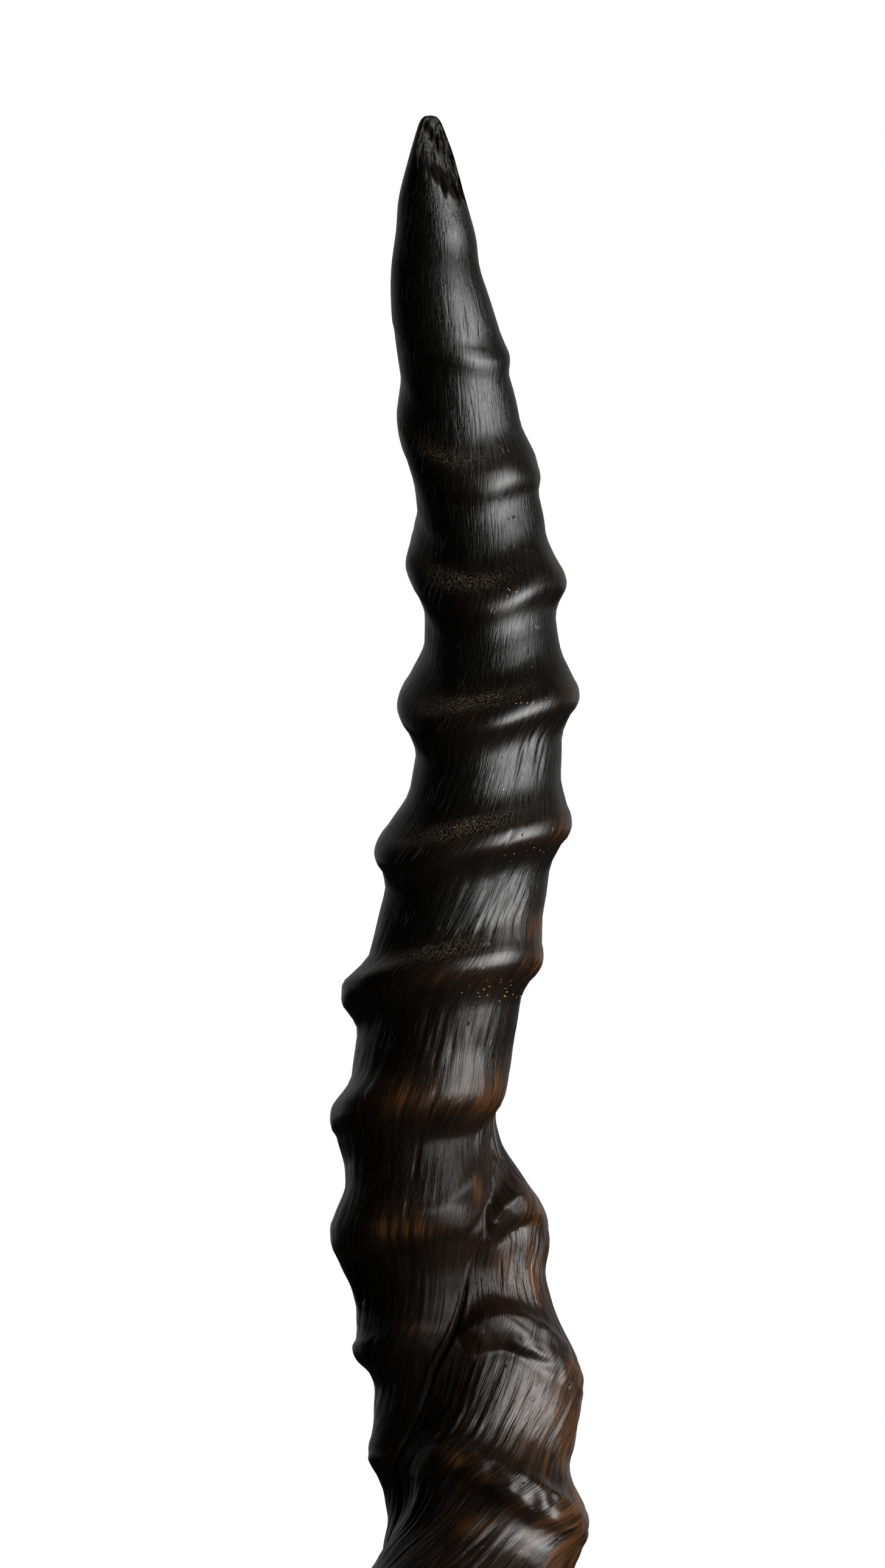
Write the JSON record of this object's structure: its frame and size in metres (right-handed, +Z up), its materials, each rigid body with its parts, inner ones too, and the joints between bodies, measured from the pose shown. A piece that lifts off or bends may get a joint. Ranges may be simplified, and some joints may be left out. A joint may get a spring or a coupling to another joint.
{
  "type": "mounted antelope horn",
  "caption": "Twisted, ringed dark antelope horn standing upright on a steel rod in a plain square wooden base, as a display piece.",
  "frame": {"origin": "centre of the base's underside, on the axis of the mounting rod", "axes": "+Z up along the rod and the horn's twist axis, -Y towards the viewer of the display side, +X to that viewer's right"},
  "size_m": [0.11, 0.11, 0.5206],
  "materials": {
    "horn": "dark brown-black horn (keratin), naturally ridged, semi-gloss with brown on the ring crests",
    "mounting_rod": "plain drawn steel rod, satin",
    "base": "ebonised hardwood, satin"
  },
  "bodies": {
    "root": {"horn": "horn", "mounting_rod": "mounting_rod", "base": "base"}
  },
  "joints": []
}
